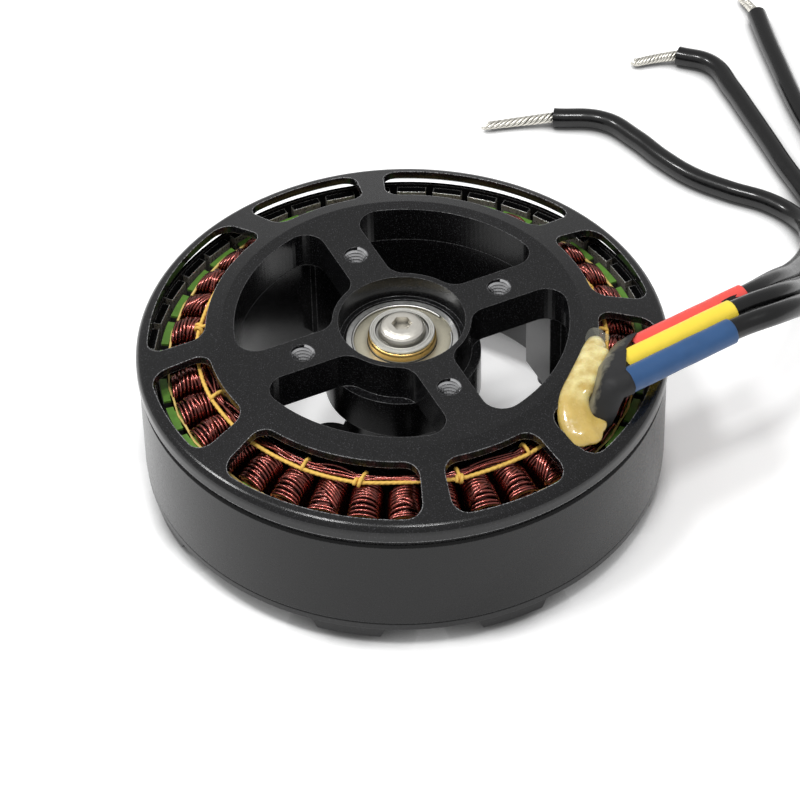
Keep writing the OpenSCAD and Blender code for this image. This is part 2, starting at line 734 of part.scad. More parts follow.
// One coloured sleeve on the first, straight stretch of a lead, from the end of the wrap
module sleeve(p, c) {
    color(c) along(p) translate([0, 0, wrap_grip]) difference() {
        cylinder(r = sleeve_d/2, h = sleeve_l, $fn = 48);
        translate([0, 0, -eps]) cylinder(r = lead_d/2 + seat_gap, h = sleeve_l + 2*eps, $fn = 48);
    }
}

module red_sleeve() {
    sleeve(red_route, [0.93, 0.33, 0.30]);
}

module yellow_sleeve() {
    sleeve(yellow_route, [0.98, 0.82, 0.20]);
}

module blue_sleeve() {
    sleeve(blue_route, [0.20, 0.36, 0.62]);
}

module red_lead() {
    color([0.06, 0.06, 0.06]) sweep(red_route, lead_d/2);
}

module yellow_lead() {
    color([0.06, 0.06, 0.06]) sweep(yellow_route, lead_d/2);
}

module blue_lead() {
    color([0.06, 0.06, 0.06]) sweep(blue_route, lead_d/2);
}

// Tinned end of a lead: a short stretch straight on from the insulation, then the points of tip
module tinned(p, tip) {
    n = len(p) - 1;
    d = (p[n] - p[n - 1])/norm(p[n] - p[n - 1]);
    sweep(concat([p[n], p[n] + tip_d/4*d], tip), tip_d/2);
}

module lead_tips() {
    color([0.80, 0.80, 0.78]) {
        tinned(red_route, red_tip);
        tinned(yellow_route, yellow_tip);
        tinned(blue_route, blue_tip);
    }
}

// Flat shrink wrap that brings the three leads up out of the window
module lead_wrap() {
    foot_x = window_r0 + wrap_r;
    routes = [red_route, yellow_route, blue_route];
    color([0.11, 0.11, 0.12]) difference() {
        hull() {
            for (p = routes) along(p) translate([0, 0, wrap_grip - 1]) cylinder(r = wrap_r, h = 1, $fn = 24);
            for (q = [[0.7, 3, -1.8], [0.3, -2.5, -2.2], [1.9, -8.5, -2]])
                translate([foot_x + q.x, q.y, total_h + q.z]) sphere(r = wrap_r, $fn = 24);
        }
        for (p = routes) along(p) {
            translate([0, 0, -seat_gap]) cylinder(r = lead_d/2 + seat_gap, h = wrap_grip + eps, $fn = 48);
            translate([0, 0, wrap_grip]) cylinder(r = sleeve_d/2 + seat_gap, h = sleeve_l, $fn = 48);
        }
    }
}

// Flattened ball of radius r, h high, for the glue
module dab(p, r, h) {
    translate(p) scale([1, 1, h/(2*r)]) sphere(r = r, $fn = 24);
}

// Bead of set glue along the inner edge of the window, which ends in a larger drop inside it
module glue_bead() {
    bead_r = 1.9;
    bead_h = 3;
    drop_r = 3.3;
    drop_h = 2.5;
    bead_x = flat_r + bead_r + 0.1;
    bead_z = cone_z(bead_x);
    color([0.87, 0.81, 0.56]) hull() {
        dab([bead_x - 0.2, 2.6, bead_z], bead_r, bead_h);
        dab([bead_x - 0.1, -6.5, bead_z], bead_r, bead_h);
        dab([window_r0 + drop_r - 0.8, -11.6, coil_top + lacing_d + drop_h/2 + 0.1], drop_r, drop_h);
    }
}

mount_plate();
stator_carrier();
carrier_screws();
stator_core();
upper_insulation();
lower_insulation();
upper_slot_liner();
lower_slot_liner();
coils_phase_a();
coils_phase_b();
coils_phase_c();
phase_jumpers();
lacing_cord();
upper_outer_race();
upper_shield();
shield_clip();
upper_inner_race();
upper_balls();
upper_cage();
lower_outer_race();
lower_shield();
lower_inner_race();
lower_balls();
lower_cage();
shaft();
race_spacer();
brass_spacer();
shaft_collar();
shaft_screw();
rotor_end_plate();
flux_ring();
magnets();
lead_wrap();
glue_bead();
red_sleeve();
yellow_sleeve();
blue_sleeve();
red_lead();
yellow_lead();
blue_lead();
lead_tips();
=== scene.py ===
"""Looks of the brushless outrunner motor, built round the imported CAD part. Metres, +Z up."""
import json
import math

import bpy
import numpy as np
from mathutils import Matrix, Vector


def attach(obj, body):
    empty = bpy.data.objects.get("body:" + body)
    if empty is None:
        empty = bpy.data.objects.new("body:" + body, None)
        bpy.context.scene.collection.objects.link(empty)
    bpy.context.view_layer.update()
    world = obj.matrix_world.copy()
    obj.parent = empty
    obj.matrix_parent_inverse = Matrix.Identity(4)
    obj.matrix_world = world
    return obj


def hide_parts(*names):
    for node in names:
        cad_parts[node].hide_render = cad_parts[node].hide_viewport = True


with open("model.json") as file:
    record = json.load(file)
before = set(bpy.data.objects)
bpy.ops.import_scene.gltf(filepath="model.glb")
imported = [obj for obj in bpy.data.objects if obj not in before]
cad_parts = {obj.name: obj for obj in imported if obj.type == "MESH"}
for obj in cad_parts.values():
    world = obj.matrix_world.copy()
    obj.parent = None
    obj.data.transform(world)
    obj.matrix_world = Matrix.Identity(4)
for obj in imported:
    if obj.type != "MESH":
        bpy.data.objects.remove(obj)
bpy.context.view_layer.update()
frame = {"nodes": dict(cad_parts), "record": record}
MM = 0.001
TAU = 2 * math.pi
UP = np.array([0, 0, 1.0])
rng = np.random.default_rng(7)


# ---------------------------------------------------------------- camera
CAM_AT = (0.16037, -0.42802, 0.45193)
CAM_TILT = 46.157      # from straight down, in degrees
CAM_HEADING = 20.617
CAM_ROLL = -1.482
CAM_LENS = 172.5
CAM_CLIP = (0.01, 20)

cam_data = bpy.data.cameras.new("camera")
cam_data.lens = CAM_LENS
cam_data.clip_start, cam_data.clip_end = CAM_CLIP
camera = bpy.data.objects.new("camera", cam_data)
bpy.context.scene.collection.objects.link(camera)
camera.matrix_world = (Matrix.Translation(CAM_AT) @ Matrix.Rotation(math.radians(CAM_HEADING), 4, "Z")
                       @ Matrix.Rotation(math.radians(CAM_TILT), 4, "X")
                       @ Matrix.Rotation(math.radians(CAM_ROLL), 4, "Z"))
bpy.context.scene.camera = camera


# ---------------------------------------------------------------- materials
MOST = (0.3, 0.7)                   # nearly all values of a noise lie between these
MIDDLE = (0.35, 0.65)
SAND = 5200                         # pits of a blasted surface, per metre
SHEET = 0.35 * MM                   # thickness of one sheet of the core
WEAR_AND_GLINT_RISE = (27 * MM, 31 * MM)         # from the hub to the rim, edges go from hardly worn to worn, and their painted highlight from faint to full
# Radii over which the painted shade between the coils fades out.
PAINTED_SHADE_END = (36.8 * MM, 37.8 * MM)
# Level of the magnets' top faces, above which their colour goes near black.
MAGNET_TOP_Z = 23.17 * MM
DROP_END = (-8.5 * MM, -5.5 * MM)   # y of the glue, from its thick drop to its thin end
SMEAR_END = (37.4 * MM, 36.4 * MM)  # x of the wrap, from clean to smeared


def srgb(*c):
    """A colour as it is seen, from 0 to 255, turned linear."""
    return tuple((v / 255 / 12.92) if v / 255 <= 0.04045 else ((v / 255 + 0.055) / 1.055) ** 2.4 for v in c)


def toned(colour, by):
    """A colour made brighter or darker."""
    return tuple(by * v for v in colour)


class Shader:
    """A Principled material with helpers for its nodes. Noise scales are in features per metre."""

    def __init__(self, name, base, rough, metal=0.0, specular=0.5, coat=0.0, coat_rough=0.1):
        self.mat = bpy.data.materials.new(name)
        self.mat.use_nodes = True
        self.tree = self.mat.node_tree
        self.bsdf = self.tree.nodes["Principled BSDF"]
        self.set("Base Color", (*base, 1))
        self.set("Roughness", rough)
        self.set("Metallic", metal)
        self.set("Specular IOR Level", specular)
        self.set("Coat Weight", coat)
        self.set("Coat Roughness", coat_rough)
        self.place = self.node("ShaderNodeTexCoord").outputs["Object"]
        self.mat.diffuse_color = (*base, 1)

    def set(self, socket, value):
        self.bsdf.inputs[socket].default_value = value

    def link(self, out, socket):
        self.tree.links.new(out, self.bsdf.inputs[socket])

    def node(self, kind, **values):
        n = self.tree.nodes.new(kind)
        for key, value in values.items():
            setattr(n, key, value)
        return n

    def wire(self, node, inputs):
        """Fill a node's inputs, each with another node's output or with a value."""
        for key, value in inputs.items():
            if isinstance(value, bpy.types.NodeSocket):
                self.tree.links.new(value, node.inputs[key])
            else:
                node.inputs[key].default_value = value
        return node

    def noise(self, scale, detail, rough=0.5):
        n = self.wire(self.node("ShaderNodeTexNoise"),
                      {"Vector": self.place, "Scale": scale, "Detail": detail, "Roughness": rough})
        return n.outputs["Fac"]

    def math(self, op, a, b=0.0):
        return self.wire(self.node("ShaderNodeMath", operation=op), {0: a, 1: b}).outputs[0]

    def remap(self, fac, low, high, to_low=0.0, to_high=1.0):
        n = self.wire(self.node("ShaderNodeMapRange", clamp=True),
                      {"Value": fac, "From Min": low, "From Max": high, "To Min": to_low, "To Max": to_high})
        return n.outputs["Result"]

    def mix(self, fac, a, b):
        """Colour a where fac is 0 and b where it is 1."""
        n = self.node("ShaderNodeMix", data_type="RGBA")
        colours = [k for k, s in enumerate(n.inputs) if s.type == "RGBA"]
        a, b = (v if isinstance(v, bpy.types.NodeSocket) else (*v, 1) for v in (a, b))
        self.wire(n, {0: fac, colours[0]: a, colours[1]: b})
        return next(s for s in n.outputs if s.type == "RGBA")

    def tinted(self, scale, detail, low, high, span=MOST):
        """Colour that wanders from low to high with a noise."""
        return self.mix(self.remap(self.noise(scale, detail), *span), low, high)

    def gloss(self, scale, detail, low, high):
        """Roughness that wanders from low to high with a noise."""
        self.link(self.remap(self.noise(scale, detail), *MOST, low, high), "Roughness")

    def axes(self):
        return self.wire(self.node("ShaderNodeSeparateXYZ"), {0: self.place}).outputs

    def radius(self):
        """Distance from the motor's axis."""
        x, y, _ = self.axes()
        return self.math("SQRT", self.math("ADD", self.math("MULTIPLY", x, x), self.math("MULTIPLY", y, y)))

    def bump(self, height, distance, strength, normal=None):
        ins = {"Height": height, "Distance": distance, "Strength": strength}
        if normal is not None:
            ins["Normal"] = normal
        self.link(self.wire(self.node("ShaderNodeBump"), ins).outputs[0], "Normal")

    def rounded(self, radius):
        """Normal with its sharp edges rounded off."""
        return self.wire(self.node("ShaderNodeBevel", samples=6), {"Radius": radius}).outputs[0]

    def edges(self, radius, low=0.02, high=0.25):
        """1 on sharp edges and 0 on flats, from the rounded normal."""
        flat = self.node("ShaderNodeNewGeometry").outputs["Normal"]
        dot = self.wire(self.node("ShaderNodeVectorMath", operation="DOT_PRODUCT"),
                        {0: self.rounded(radius), 1: flat}).outputs["Value"]
        return self.remap(self.math("SUBTRACT", 1.0, dot), low, high)

    def open_sky(self, distance, samples=6, local=True):
        """1 on open faces, falling towards 0 in narrow gaps."""
        ao = self.node("ShaderNodeAmbientOcclusion", samples=samples, only_local=local)
        return self.wire(ao, {"Distance": distance}).outputs["AO"]

    def soft(self, weight):
        """Light that sinks in a little, red further than blue."""
        self.set("Subsurface Weight", weight)
        self.set("Subsurface Radius", (1.5 * MM, 1.2 * MM, 0.6 * MM))
        self.set("Subsurface Scale", 1.0)


def anodised(name, base, wear_and_glint, rough, glint_share=0.5, edge=1.0, specular=0.4):
    """Sand-blasted black anodised aluminium: painted glints in the colour, dull flats, and edges painted bright,
    partly as wear and partly as painted highlight.
    """
    s = Shader(name, base, rough, specular=specular)
    colour = s.tinted(260, 3, toned(base, 0.9), toned(base, 1.1), MIDDLE)
    # Painted glints: bright specks mixed into the colour where a fine noise peaks.
    painted_glints = s.remap(s.noise(SAND, 1.5, 0.7), 0.58, 0.72)
    colour = s.mix(s.math("MULTIPLY", painted_glints, glint_share), colour, toned(base, 20))
    # Edges painted bright: partly wear, partly painted highlight, broken into specks by a noise.
    chip_and_glint_specks = s.remap(s.noise(3200, 2, 0.7), 0.36, 0.6)
    wear_and_glint_rise = s.remap(s.radius(), *WEAR_AND_GLINT_RISE, 0.22 * edge, edge)
    edge_wear_and_glint = s.math("MULTIPLY", s.edges(0.3 * MM), s.math("MULTIPLY", chip_and_glint_specks, wear_and_glint_rise))
    s.link(s.mix(edge_wear_and_glint, colour, wear_and_glint), "Base Color")
    s.gloss(1500, 3, rough - 0.01, rough + 0.03)
    s.bump(s.noise(SAND, 2, 0.6), 0.02 * MM, 0.3, s.rounded(0.2 * MM))
    return s.mat


def metal(name, base, rough, vary=0.15, edge=None, darker=0.75):
    """Bare or plated metal with painted shade in its corners, and fine scratches."""
    s = Shader(name, base, rough, metal=1.0)
    colour = s.tinted(700, 4, toned(base, darker), base)
    if edge:
        colour = s.mix(s.edges(0.25 * MM), colour, edge)
    # Painted shade: the colour darkens where nearby surfaces close in.
    light = s.math("POWER", s.open_sky(1.1 * MM, local=False), 1.3)
    s.link(s.mix(light, toned(base, 0.16), colour), "Base Color")
    s.gloss(2600, 3, rough * (1 - vary), rough * (1 + vary) + 0.04)
    s.bump(s.noise(9000, 1), 0.004 * MM, 0.35)
    return s.mat


def enamel(name, base):
    """Enamelled copper wire: dark red lacquer over metal, with painted shade in the gaps between strands."""
    s = Shader(name, base, 0.26, metal=1.0, coat=1.0, coat_rough=0.16)
    wire = s.tinted(900, 2, toned(base, 0.7), toned(base, 1.5))
    # Painted shade: the colour darkens in the narrow gaps between strands and coils.
    light = s.math("POWER", s.open_sky(0.8 * MM), 1.6)
    s.link(s.mix(light, toned(base, 0.12), wire), "Base Color")
    s.gloss(3500, 2, 0.2, 0.34)
    s.bump(s.noise(3800, 2), 0.012 * MM, 0.4)
    return s.mat


def plastic(name, base, rough, dark, scale, dents=0.01 * MM, dent_scale=2500, coat=0.0, coat_rough=0.15,
            specular=0.5, depth=0.0):
    """Plastic, silicone, paper or cord. Light sinks in where depth isn't 0."""
    s = Shader(name, base, rough, specular=specular, coat=coat, coat_rough=coat_rough)
    s.link(s.tinted(scale, 3, toned(base, dark), base), "Base Color")
    s.gloss(scale * 3, 2, rough * 0.85, rough * 1.15)
    s.bump(s.noise(dent_scale, 3), dents, 0.6)
    if depth:
        s.soft(depth)
    return s.mat


def laminated(name, sheet, gap):
    """Stacked steel sheets with dark lines between them."""
    s = Shader(name, sheet, 0.4, metal=0.9)
    saw = s.math("FRACT", s.math("MULTIPLY", s.axes()[2], 1 / SHEET))
    line = s.remap(s.math("ABSOLUTE", s.math("SUBTRACT", saw, 0.5)), 0.36, 0.5)
    s.link(s.mix(line, sheet, gap), "Base Color")
    s.gloss(1800, 2, 0.34, 0.52)
    s.bump(line, 0.03 * MM, 0.6)
    return s.mat


def set_glue(name, thin, thick):
    """Clouded glue, yellower in the drop at its low end."""
    s = Shader(name, thin, 0.22, coat=0.7, coat_rough=0.04)
    along = s.math("ADD", s.axes()[1], s.math("MULTIPLY", s.noise(300, 2), 3 * MM))
    tone = s.mix(s.remap(along, *DROP_END), thick, thin)
    s.link(s.tinted(420, 3, toned(thick, 0.88), tone, MIDDLE), "Base Color")
    s.gloss(900, 2, 0.15, 0.34)
    s.bump(s.noise(620, 2), 0.12 * MM, 0.8)
    s.soft(0.5)
    return s.mat


def clear_film(name, base):
    """Film of glue thin enough to see through."""
    s = Shader(name, base, 0.2, coat=0.6, coat_rough=0.05)
    s.set("Alpha", 0.22)
    s.link(s.mix(s.noise(600, 3), toned(base, 0.75), base), "Base Color")
    s.bump(s.noise(900, 3), 0.08 * MM, 0.7)
    return s.mat


def smeared(name, base, film):
    """Matt wrap with a film of glue on the side next to the bead."""
    s = Shader(name, base, 0.62, specular=0.35)
    across = s.math("ADD", s.axes()[0], s.math("MULTIPLY", s.noise(700, 3), 2.4 * MM))
    near = s.remap(across, *SMEAR_END)
    clean = s.tinted(600, 3, toned(base, 0.8), base)
    s.link(s.mix(s.math("MULTIPLY", near, 0.5), clean, film), "Base Color")
    s.link(s.remap(near, 0.0, 1.0, 0.62, 0.3), "Roughness")
    s.bump(s.noise(1800, 3), 0.04 * MM, 0.6)
    return s.mat


def nickel_with_dark_top(name, base, top_colour, edge):
    """Nickel, near black on its top faces, with painted highlights on its edges and corners."""
    s = Shader(name, base, 0.34, metal=0.7)
    top_face = s.remap(s.axes()[2], MAGNET_TOP_Z - 0.03 * MM, MAGNET_TOP_Z)
    nickel = s.tinted(700, 4, toned(base, 0.75), base)
    # Painted highlight: the edges are mixed towards a near-white colour.
    s.link(s.mix(s.edges(0.2 * MM, 0.02, 0.16), s.mix(top_face, nickel, top_colour), edge), "Base Color")
    s.gloss(2600, 3, 0.22, 0.38)
    s.bump(s.noise(1800, 2), 0.02 * MM, 0.5, s.rounded(0.15 * MM))
    return s.mat


def shaded_between_coils(name, base, painted_shade):
    """Green coating in its own colour at the ends of the teeth, with painted shade between the coils."""
    s = Shader(name, base, 0.45, specular=0.3)
    clean = s.tinted(900, 3, toned(base, 0.75), base)
    # Painted shade: the colour goes near black towards the axis, between the coils.
    s.link(s.mix(s.remap(s.radius(), *PAINTED_SHADE_END), painted_shade, clean), "Base Color")
    s.gloss(1500, 2, 0.38, 0.5)
    s.bump(s.noise(2500, 3), 0.01 * MM, 0.6)
    return s.mat


SLEEVE = dict(rough=0.4, scale=300, dent_scale=900, specular=0.35)
FINISHES = [
    # The bright edge colours of the anodised finishes are partly wear and partly painted highlight.
    (anodised, "anodised_black", dict(base=srgb(14, 14, 15), wear_and_glint=srgb(200, 200, 202), rough=0.17)),
    (anodised, "end_plate_black", dict(base=srgb(10, 10, 11), wear_and_glint=srgb(90, 90, 91), rough=0.3, edge=0.4)),
    (anodised, "ring_coating", dict(base=srgb(11, 11, 12), wear_and_glint=srgb(120, 120, 122), rough=0.26, glint_share=0.1,
                                    edge=0.6, specular=0.31)),
    # The magnets' near-white edge colour is a painted highlight.
    (nickel_with_dark_top, "magnet_nickel", dict(base=srgb(208, 202, 188), top_colour=srgb(16, 16, 17), edge=srgb(250, 250, 246))),
    (laminated, "lamination_steel", dict(sheet=srgb(120, 120, 124), gap=srgb(48, 46, 45))),
    (shaded_between_coils, "green_insulation", dict(base=srgb(100, 146, 60), painted_shade=srgb(22, 30, 12))),
    (plastic, "slot_paper", dict(base=srgb(234, 202, 120), rough=0.55, dark=0.82, scale=1500, depth=0.1)),
    (enamel, "copper_enamel", dict(base=srgb(146, 68, 58))),
    (plastic, "lacing_yellow", dict(base=srgb(250, 204, 102), rough=0.6, dark=0.82, scale=1400,
                                    dents=0.03 * MM, dent_scale=6000, specular=0.3)),
    (metal, "bearing_steel", dict(base=srgb(238, 238, 236), rough=0.38, darker=0.9)),
    (metal, "shield_tan", dict(base=srgb(230, 224, 202), rough=0.4, darker=0.9)),
    (metal, "shaft_steel", dict(base=srgb(190, 190, 192), rough=0.22)),
    (metal, "spacer_brass", dict(base=srgb(234, 196, 122), rough=0.3, darker=0.88)),
    (metal, "collar_silver", dict(base=srgb(246, 245, 238), rough=0.34, darker=0.9)),
    (metal, "screw_silver", dict(base=srgb(242, 238, 228), rough=0.34, edge=srgb(240, 238, 230), darker=0.9)),
    (metal, "screw_black", dict(base=srgb(74, 74, 78), rough=0.3, edge=srgb(170, 168, 160))),
    (smeared, "wrap_black", dict(base=srgb(36, 36, 37), film=srgb(150, 146, 128))),
    (set_glue, "glue_cream", dict(thin=srgb(232, 220, 158), thick=srgb(206, 178, 98))),
    (plastic, "sleeve_red", dict(base=srgb(240, 88, 80), dark=0.9, **SLEEVE)),
    (plastic, "sleeve_yellow", dict(base=srgb(255, 225, 74), dark=0.93, **SLEEVE)),
    (plastic, "sleeve_blue", dict(base=srgb(52, 88, 134), dark=0.88, **SLEEVE)),
    (plastic, "silicone_black", dict(base=srgb(9, 9, 10), rough=0.3, dark=0.7, scale=400, dent_scale=700,
                                     coat=0.4, coat_rough=0.08, specular=0.3)),
    (metal, "tinned_copper", dict(base=srgb(244, 241, 231), rough=0.34, vary=0.3, darker=0.85)),
]
MATS = {name: make(name, **look) for make, name, look in FINISHES}
for row in frame["record"]["subparts"]:
    data = frame["nodes"][row["node"]].data
    data.materials.clear()
    data.materials.append(MATS[row["material_slot"]])


# ---------------------------------------------------------------- mesh helpers
def normed(v):
    return v / np.linalg.norm(v, axis=-1, keepdims=True)


def tangents(p, closed=False):
    return normed(np.roll(p, -1, 0) - np.roll(p, 1, 0)) if closed else normed(np.gradient(p, axis=0))


def ring_faces(rows, cols, closed=False):
    """Faces between rings of points. Where closed, the last ring joins the first."""
    faces = []
    for i in range(rows if closed else rows - 1):
        j = (i + 1) % rows
        for k in range(cols):
            m = (k + 1) % cols
            faces.append((i * cols + k, i * cols + m, j * cols + m, j * cols + k))
    return faces


def end_faces(rows, cols):
    """Faces that fill the first and the last ring."""
    return [tuple(range(cols - 1, -1, -1)), tuple((rows - 1) * cols + k for k in range(cols))]


def tube(path, radius, sides, closed=False):
    """Vertices and faces of a round tube along a path."""
    p = np.asarray(path, float)
    n = len(p)
    t = tangents(p, closed)
    ref = UP if abs(t[0][2]) < 0.9 else np.array([1.0, 0, 0])
    u = [normed(np.cross(ref, t[0]))]
    for i in range(1, n + 1):
        k = i % n
        u.append(normed(u[-1] - (u[-1] @ t[k]) * t[k]))
    twist = math.atan2(np.cross(u[0], u[n]) @ t[0], u[0] @ u[n]) if closed else 0.0
    u = np.array(u[:n])
    v = np.cross(t, u)
    a = (np.arange(sides) * TAU / sides)[None, :] - (np.arange(n) * twist / n)[:, None]
    r = np.broadcast_to(np.asarray(radius, float), (n,))[:, None, None]
    verts = p[:, None, :] + r * (np.cos(a)[..., None] * u[:, None, :] + np.sin(a)[..., None] * v[:, None, :])
    faces = ring_faces(n, sides, closed) + ([] if closed else end_faces(n, sides))
    return verts.reshape(-1, 3), faces


def combine(parts):
    verts, faces, base = [], [], 0
    for v, f in parts:
        verts.append(v)
        faces.extend(tuple(i + base for i in face) for face in f)
        base += len(v)
    return np.vstack(verts), faces


def placed(ob, nodes=()):
    """Every new piece rides on the stator."""
    bpy.context.scene.collection.objects.link(ob)
    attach(ob, "stator")
    if nodes:
        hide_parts(*nodes)
    return ob


def piece(name, geometry, slot, nodes=(), smooth=True):
    verts, faces = geometry
    mesh = bpy.data.meshes.new(name)
    mesh.from_pydata(verts.tolist(), [], faces)
    mesh.polygons.foreach_set("use_smooth", [smooth] * len(mesh.polygons))
    mesh.materials.append(MATS[slot])
    return placed(bpy.data.objects.new(name, mesh), nodes)


def spin(points, degrees):
    a = math.radians(degrees)
    m = np.array([[math.cos(a), -math.sin(a), 0], [math.sin(a), math.cos(a), 0], [0, 0, 1]])
    return np.asarray(points) @ m.T


def polar(r, degrees, z):
    a = np.radians(degrees)
    return np.stack(np.broadcast_arrays(r * np.cos(a), r * np.sin(a), z), axis=-1)


def smooth_path(points, per):
    """Catmull-Rom through the points, with per steps between two of them."""
    p = np.asarray(points, float)
    p = np.vstack([2 * p[0] - p[1], p, 2 * p[-1] - p[-2]])
    out = []
    for i in range(1, len(p) - 2):
        for k in range(per):
            t = k / per
            out.append(0.5 * (2 * p[i] + (p[i + 1] - p[i - 1]) * t
                              + (2 * p[i - 1] - 5 * p[i] + 4 * p[i + 1] - p[i + 2]) * t * t
                              + (3 * p[i] - p[i - 1] - 3 * p[i + 1] + p[i + 2]) * t ** 3))
    out.append(p[-2])
    return np.array(out)


# ---------------------------------------------------------------- leads
# Each route starts inside the wrap, and each tip starts at the end of its lead's insulation. Millimetres.
RED = [(36.2, 4.6, 30), (44, 15, 30), (50.9, 24.2, 30), (53.2, 31, 27.7), (54.5, 40, 22.5), (54.5, 50, 17),
       (53, 60, 11), (51, 69, 5.5), (47.5, 76, 2.3), (41, 79.5, 1.8), (33, 80.5, 1.8), (26, 82, 1.8),
       (19.5, 85, 1.8), (13, 89, 1.8), (6, 92, 1.8), (-3, 90, 1.8)]
YELLOW = [(36.1, -1.9, 32.2), (45.1, 10.1, 32.2), (51.4, 18.5, 32.2), (55.6, 24.3, 31.2), (57.6, 34.7, 24.8),
          (58.5, 45, 18), (58, 56, 11.5), (57, 66, 5.5), (54, 74, 2.3), (49.5, 80.5, 1.8), (45, 85.5, 1.8),
          (40.5, 90.5, 1.8), (36, 96, 1.8), (31, 102, 1.8), (25.5, 108.5, 1.8), (20, 114, 1.8), (13.5, 114.5, 1.8)]
BLUE = [(37.45, -7.2, 33.15), (46.45, 4.8, 33.15), (52.9, 13.4, 33.15), (57.8, 18.5, 33.1), (60.9, 30, 27),
        (62.5, 42, 20), (63, 54, 13), (61.5, 66, 7), (58, 77, 2.6), (52.5, 87, 1.8), (46, 97, 1.8), (40, 105, 1.8),
        (36, 111, 1.8), (32, 117.5, 1.8), (28, 124, 1.8), (24, 131, 1.8)]
RED_TIP = [(-3, 90, 1.8), (-9, 87.5, 1.3), (-15, 84, 1.2)]
YELLOW_TIP = [(13.5, 114.5, 1.8), (9.5, 113, 1.3), (5.5, 110, 1.2)]
BLUE_TIP = [(24, 131, 1.8), (22, 133.5, 1.4), (19, 136, 1.2)]
# Colour, route, tip, phase of the sleeve's waves, and length in metres
LEADS = (("red", RED, RED_TIP, 0.0, 0.139), ("yellow", YELLOW, YELLOW_TIP, 2.0, 0.149),
         ("blue", BLUE, BLUE_TIP, 4.0, 0.162))
LEAD_D = 3.6 * MM
SLEEVE_D = 4.3 * MM
SLEEVE_L = 21.0 * MM
GRIP = 3.0 * MM             # length of a lead inside the wrap
TUCK = 1.3 * MM             # how far a sleeve reaches back into the wrap
SLEEVE_RUN = SLEEVE_L + TUCK
TIP_D = 2.0 * MM
TIP_STRANDS = 7
TIP_TURNS = 2.2
TIP_WIRE = 0.3 * MM         # radius of a strand of the tip


def lead_curve(name, node, route):
    data = bpy.data.curves.new(name, "CURVE")
    data.dimensions = "3D"
    data.bevel_depth = LEAD_D / 2
    data.bevel_resolution = 5
    data.resolution_u = 10
    data.use_fill_caps = True
    line = data.splines.new("BEZIER")
    line.bezier_points.add(len(route) - 1)
    for point, at in zip(line.bezier_points, route):
        point.co = Vector(at) * MM
        point.handle_left_type = point.handle_right_type = "AUTO"
    data.materials.append(MATS["silicone_black"])
    return placed(bpy.data.objects.new(name, data), [node])


def sleeve_mesh(route, wobble):
    """A shrunk tube on the first stretch of a lead, with soft ends and a slightly wavy skin."""
    start, towards = np.array(route[0]) * MM, np.array(route[1]) * MM
    d = normed(towards - start)
    start = start + (GRIP - TUCK) * d
    side = normed(np.cross(d, UP))
    up = np.cross(side, d)
    r, inner = SLEEVE_D / 2, LEAD_D / 2 + 0.02 * MM
    near_full, rolled = r - 0.02 * MM, r - 0.12 * MM
    stations = [(0.0, inner), (0.0, rolled), (0.1 * MM, near_full)]
    stations += [(x, r) for x in np.linspace(0.4 * MM, SLEEVE_RUN - 0.4 * MM, 24)]
    stations += [(SLEEVE_RUN - 0.1 * MM, near_full), (SLEEVE_RUN, rolled), (SLEEVE_RUN, inner),
                 (SLEEVE_RUN - 1.5 * MM, inner)]
    cols = 40
    verts = []
    for x, rad in stations:
        soft = 1.0 if rad < r - 0.01 * MM else 1 - 0.012 * (1 + math.sin(x * 900 + wobble)) / 2
        for a in np.arange(cols) * TAU / cols:
            wave = 1 - 0.008 * (1 + math.sin(3 * a + x * 500 + wobble)) / 2
            verts.append(start + d * x + rad * soft * wave * (math.cos(a) * side + math.sin(a) * up))
    return np.array(verts), ring_faces(len(stations), cols)


def tip_mesh(route):
    """Tinned strands twisted about the end of a lead, a little open at the cut."""
    line = smooth_path(np.array(route) * MM, 14)
    side = normed(np.cross(tangents(line), UP))
    up = np.cross(side, tangents(line))
    parts = []
    s = np.linspace(0, 1, len(line))
    for k in range(TIP_STRANDS):
        ring = 0.0 if k == 0 else TIP_D / 2 - TIP_WIRE
        a = TAU * (k / (TIP_STRANDS - 1) + TIP_TURNS * s) + rng.normal(0, 0.08)
        spread = ring * (1 - 0.25 * s + 0.12 * np.sin(9 * s + k))
        end = len(line) - int(rng.integers(0, 4)) - (2 if k == 0 else 0)
        p = line + (spread * np.cos(a))[:, None] * side + (spread * np.sin(a))[:, None] * up
        parts.append(tube(p[:end], TIP_WIRE * (1 - 0.15 * s[:end]), 8))
    return combine(parts)


for tag, route, tip, wobble, length in LEADS:
    lead = lead_curve(f"{tag}_wire", f"{tag}_lead", route)
    sleeve = piece(f"{tag}_shrink_sleeve", sleeve_mesh(route, wobble), f"sleeve_{tag}", nodes=[f"{tag}_sleeve"])
    strands = piece(f"{tag}_tinned_end", tip_mesh(tip), "tinned_copper", nodes=["lead_tips"])


# ---------------------------------------------------------------- coils
TEETH = 36
STRAND = 0.29 * MM          # radius of a strand
COIL_R0, COIL_R1 = 31.9 * MM, 38.3 * MM
FIRST, LAST = COIL_R0 + STRAND, COIL_R1 - STRAND    # where along the tooth the end strands lie
COIL_TOP = 26.1 * MM
COIL_FLAT, COIL_SLOPE = 36.0 * MM, 1.8 * MM     # where the heads start to slope down, and by how much
HEAD_TOP, HEAD_LOW = 22.7 * MM, 9.9 * MM        # levels where the rounded heads start
HEAD_MID = (HEAD_TOP + HEAD_LOW) / 2
COIL_HALF = 2.65 * MM
LAYER = 0.5 * MM            # height of a layer of strands
STRANDS = 10                # in the outer layer, and one less in the inner
PITCH = (COIL_R1 - COIL_R0 - 2 * STRAND) / (STRANDS - 1)
CROSSING_PITCH = 0.56 * MM  # between strands of a bundle laid across


